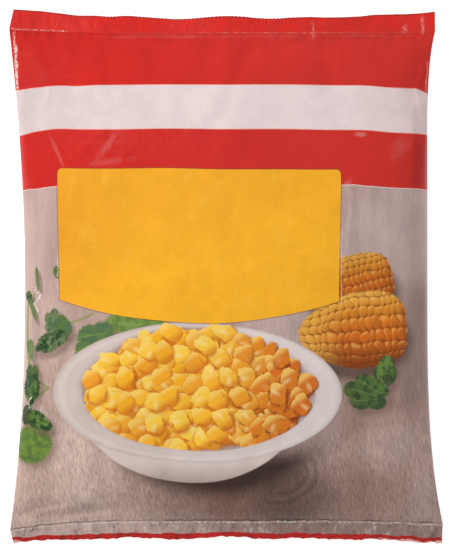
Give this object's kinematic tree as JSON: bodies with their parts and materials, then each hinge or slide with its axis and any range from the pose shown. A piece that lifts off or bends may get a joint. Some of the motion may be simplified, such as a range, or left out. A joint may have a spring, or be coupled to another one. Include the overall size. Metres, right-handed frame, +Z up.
{
  "type": "frozen vegetable bag",
  "caption": "Shut pillow bag of frozen sweetcorn kernels, lying on its back, with a flat seal across each end and a long seam down the back.",
  "frame": {"origin": "on the table, under the middle of the lying bag's bounding box", "axes": "+Z up out of the printed front, +Y towards the top seal, +X to the right of the printed front"},
  "size_m": [0.1711, 0.2104, 0.0328],
  "materials": {
    "printed_film": "Soft polyethylene film with a low satin gloss, printed in fields: red with a pale band at the top, a plain yellow panel, and below it a taupe wood ground with a white bowl of yellow kernels, two cobs and green leaves. No lettering."
  },
  "bodies": {
    "root": {"bag": "printed_film"}
  },
  "joints": []
}
